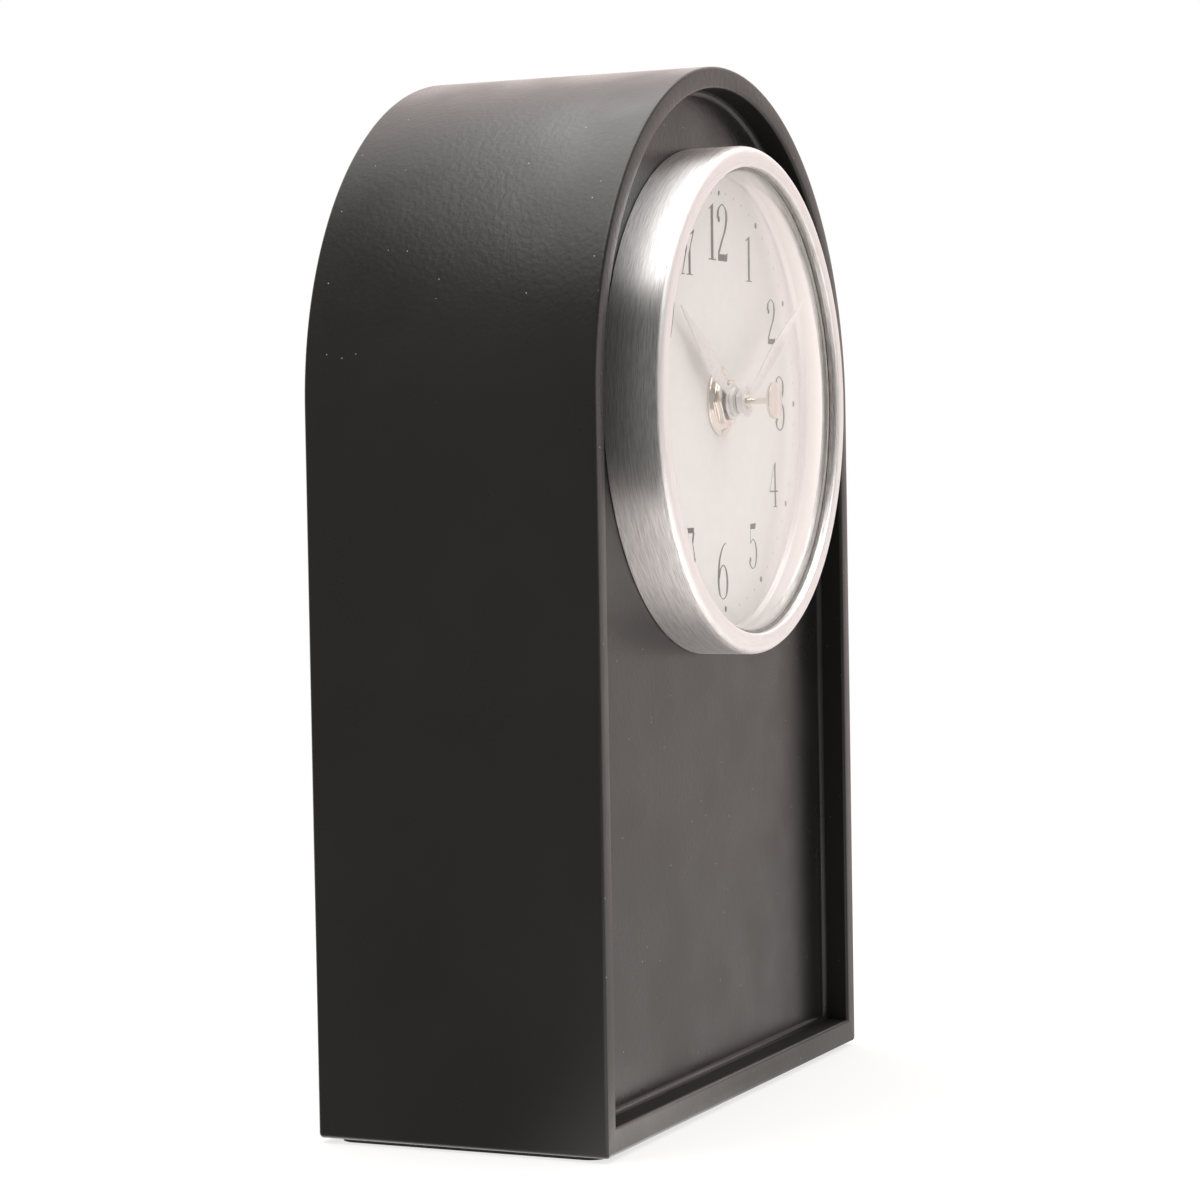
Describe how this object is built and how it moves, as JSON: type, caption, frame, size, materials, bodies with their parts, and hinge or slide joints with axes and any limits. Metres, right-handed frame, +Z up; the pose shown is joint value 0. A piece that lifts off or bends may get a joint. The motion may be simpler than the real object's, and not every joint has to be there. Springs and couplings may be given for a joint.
{
  "type": "mantel clock",
  "caption": "Arch-topped mantel clock: painted board case with a recessed front, domed metal-bezel dial, hour and minute hands, quartz movement and rear access opening.",
  "frame": {"origin": "on the surface the clock rests on, under the middle of the case's width and depth", "axes": "+X to the right of someone facing the dial, +Y from the dial towards the back, +Z up"},
  "size_m": [0.156, 0.0819, 0.24],
  "materials": {
    "case_paint": "satin black paint on board",
    "raw_board": "raw fibreboard",
    "block_wood": "raw softwood",
    "felt": "black felt",
    "bezel_metal": "brushed",
    "ring_metal": "satin",
    "gasket_rubber": "matt",
    "lens_glass": "clear",
    "dial_paint": "matt off-white print",
    "screw_steel": "zinc plated",
    "nickel": "polished nickel plate",
    "bush_brass": "turned",
    "washer_rubber": "matt",
    "hand_metal": "satin silver",
    "housing_plastic": "fine texture",
    "wheel_plastic": "moulded acetal",
    "arbor_steel": "polished",
    "magnet": "ferrite",
    "pole_steel": "stamped",
    "bobbin_plastic": "moulded",
    "winding_wire": "enamelled copper wire",
    "board_laminate": "circuit laminate",
    "chip_resin": "resin",
    "can_metal": "tinned can",
    "battery_jacket": "printed jacket",
    "contact_metal": "nickel plated spring strip"
  },
  "bodies": {
    "clock_case": {"case_shell": "case_paint", "front_panel": "case_paint", "back_panel": "raw_board", "side_blocks": "block_wood", "top_block": "block_wood", "back_panel_screws": "screw_steel", "base_felt": "felt", "bezel_ring": "bezel_metal", "bezel_screws": "screw_steel", "lens": "lens_glass", "lens_gasket": "gasket_rubber", "inner_ring": "ring_metal", "dial_plate": "dial_paint", "dial_backer": "raw_board", "threaded_bush": "bush_brass", "rubber_washer": "washer_rubber", "dome_washer": "nickel", "hex_nut": "nickel", "movement_case": "housing_plastic", "movement_cover": "housing_plastic", "stator_plate": "pole_steel", "coil_core": "pole_steel", "coil_bobbin": "bobbin_plastic", "coil_winding": "winding_wire", "circuit_board": "board_laminate", "timing_chip": "chip_resin", "crystal_can": "can_metal", "positive_contact": "contact_metal", "negative_contact": "contact_metal"},
    "seconds_work": {"second_wheel": "wheel_plastic", "second_arbor": "arbor_steel", "seconds_cap": "nickel"},
    "intermediate_gear": {"intermediate_wheel": "wheel_plastic"},
    "rotor": {"rotor_magnet": "magnet", "rotor_pinion": "wheel_plastic"},
    "third_gear": {"third_wheel": "wheel_plastic"},
    "centre_gear": {"centre_wheel": "wheel_plastic"},
    "minute_work": {"minute_pipe": "bush_brass", "minute_hand": "hand_metal", "minute_collet": "hand_metal"},
    "minute_gear": {"minute_wheel": "wheel_plastic"},
    "setting_work": {"setting_arbor": "wheel_plastic", "setting_knob": "housing_plastic"},
    "hour_work": {"hour_wheel": "wheel_plastic", "hour_hand": "hand_metal", "hour_collet": "hand_metal"},
    "battery_cell": {"battery": "battery_jacket"}
  },
  "joints": [
    {"name": "second_turn", "type": "hinge", "parent": "clock_case", "child": "seconds_work", "pos_m": [0, 0, 0.163], "axis": [0, 1, 0], "continuous": true},
    {"name": "intermediate_turn", "type": "hinge", "parent": "clock_case", "child": "intermediate_gear", "pos_m": [0.00795, 0, 0.17095], "axis": [0, 1, 0], "continuous": true},
    {"name": "rotor_turn", "type": "hinge", "parent": "clock_case", "child": "rotor", "pos_m": [0.01496, 0, 0.16614], "axis": [0, 1, 0], "continuous": true},
    {"name": "third_turn", "type": "hinge", "parent": "clock_case", "child": "third_gear", "pos_m": [-0.008, 0, 0.17129], "axis": [0, 1, 0], "continuous": true},
    {"name": "centre_turn", "type": "hinge", "parent": "clock_case", "child": "centre_gear", "pos_m": [0, 0, 0.163], "axis": [0, 1, 0], "continuous": true},
    {"name": "minute_turn", "type": "hinge", "parent": "clock_case", "child": "minute_work", "pos_m": [0, 0, 0.163], "axis": [0, 1, 0], "continuous": true},
    {"name": "minute_gear_turn", "type": "hinge", "parent": "clock_case", "child": "minute_gear", "pos_m": [-0.00705, 0, 0.16043], "axis": [0, 1, 0], "continuous": true},
    {"name": "setting_turn", "type": "hinge", "parent": "clock_case", "child": "setting_work", "pos_m": [-0.01443, 0, 0.15789], "axis": [0, 1, 0], "continuous": true},
    {"name": "hour_turn", "type": "hinge", "parent": "clock_case", "child": "hour_work", "pos_m": [0, 0, 0.163], "axis": [0, 1, 0], "continuous": true},
    {"name": "battery_slide", "type": "slide", "parent": "clock_case", "child": "battery_cell", "axis": [0, 1, 0], "range_m": [0, 0.06]}
  ],
  "couplings": [
    {"joint": "intermediate_turn", "follows": "second_turn", "ratio": -4},
    {"joint": "rotor_turn", "follows": "second_turn", "ratio": 30},
    {"joint": "third_turn", "follows": "second_turn", "ratio": -0.13333},
    {"joint": "centre_turn", "follows": "second_turn", "ratio": 0.016667},
    {"joint": "minute_gear_turn", "follows": "minute_turn", "ratio": -0.33333},
    {"joint": "hour_turn", "follows": "minute_turn", "ratio": 0.083333},
    {"joint": "setting_turn", "follows": "minute_turn", "ratio": 0.85714}
  ]
}
